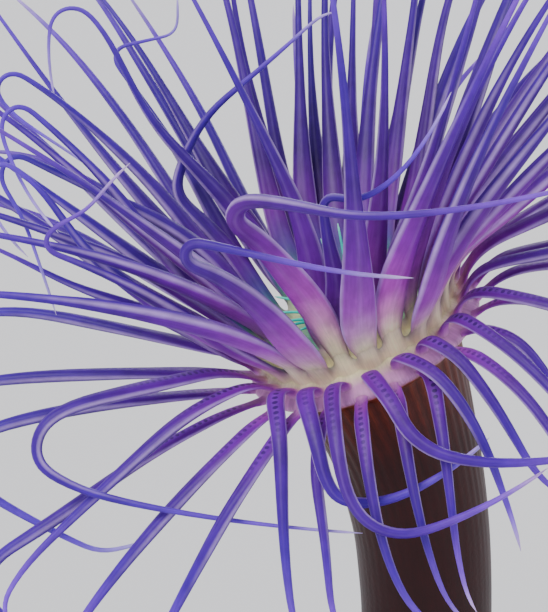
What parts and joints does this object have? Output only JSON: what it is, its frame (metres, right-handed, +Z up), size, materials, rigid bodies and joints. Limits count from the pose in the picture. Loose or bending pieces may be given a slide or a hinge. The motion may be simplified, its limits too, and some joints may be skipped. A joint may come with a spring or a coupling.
{
  "type": "tube-dwelling anemone",
  "caption": "Life-size still model of a purple tube-dwelling anemone: upright column, tilted disc with slit mouth, a crown of long leaf-based whip tentacles and a flat round base.",
  "frame": {"origin": "centre of the underside of the stand's round base", "axes": "+Z up, the animal's front towards -Y, its right-hand side as seen from the front towards +X"},
  "size_m": [0.2604, 0.2033, 0.323],
  "materials": {
    "stand_wood": "dark stained wood, satin varnish",
    "column_skin": "soft wet skin, finely ridged",
    "disc_skin": "soft wet skin",
    "mouth_skin": "soft wet skin",
    "labial_skin": "soft wet skin, slightly fluorescent",
    "inner_tentacle_skin": "soft wet translucent skin",
    "outer_tentacle_skin": "soft wet translucent skin"
  },
  "bodies": {
    "root": {"stand_base": "stand_wood", "column_foot": "column_skin", "column_lower": "column_skin", "column_middle": "column_skin", "column_upper": "column_skin", "oral_disc": "disc_skin", "mouth": "mouth_skin", "labial_tentacles_1": "labial_skin", "labial_tentacles_2": "labial_skin", "labial_tentacles_3": "labial_skin", "labial_tentacles_4": "labial_skin", "tentacles_inner_01": "inner_tentacle_skin", "tentacles_outer_01": "outer_tentacle_skin", "tentacles_inner_02": "inner_tentacle_skin", "tentacles_outer_02": "outer_tentacle_skin", "tentacles_inner_03": "inner_tentacle_skin", "tentacles_outer_03": "outer_tentacle_skin", "tentacles_inner_04": "inner_tentacle_skin", "tentacles_outer_04": "outer_tentacle_skin", "tentacles_inner_05": "inner_tentacle_skin", "tentacles_outer_05": "outer_tentacle_skin", "tentacles_inner_06": "inner_tentacle_skin", "tentacles_outer_06": "outer_tentacle_skin", "tentacles_inner_07": "inner_tentacle_skin", "tentacles_outer_07": "outer_tentacle_skin", "tentacles_inner_08": "inner_tentacle_skin", "tentacles_outer_08": "outer_tentacle_skin", "tentacles_inner_09": "inner_tentacle_skin", "tentacles_outer_09": "outer_tentacle_skin", "tentacles_inner_10": "inner_tentacle_skin", "tentacles_outer_10": "outer_tentacle_skin", "tentacles_inner_11": "inner_tentacle_skin", "tentacles_outer_11": "outer_tentacle_skin", "tentacles_inner_12": "inner_tentacle_skin", "tentacles_outer_12": "outer_tentacle_skin", "tentacles_inner_13": "inner_tentacle_skin", "tentacles_outer_13": "outer_tentacle_skin", "tentacles_inner_14": "inner_tentacle_skin", "tentacles_outer_14": "outer_tentacle_skin", "tentacles_inner_15": "inner_tentacle_skin", "tentacles_outer_15": "outer_tentacle_skin", "tentacles_inner_16": "inner_tentacle_skin", "tentacles_outer_16": "outer_tentacle_skin", "tentacles_inner_17": "inner_tentacle_skin", "tentacles_outer_17": "outer_tentacle_skin", "tentacles_inner_18": "inner_tentacle_skin", "tentacles_outer_18": "outer_tentacle_skin", "tentacles_inner_19": "inner_tentacle_skin", "tentacles_outer_19": "outer_tentacle_skin", "tentacles_inner_20": "inner_tentacle_skin", "tentacles_outer_20": "outer_tentacle_skin", "tentacles_inner_21": "inner_tentacle_skin", "tentacles_outer_21": "outer_tentacle_skin", "tentacles_inner_22": "inner_tentacle_skin", "tentacles_outer_22": "outer_tentacle_skin", "tentacles_inner_23": "inner_tentacle_skin", "tentacles_outer_23": "outer_tentacle_skin", "tentacles_inner_24": "inner_tentacle_skin", "tentacles_outer_24": "outer_tentacle_skin"}
  },
  "joints": []
}
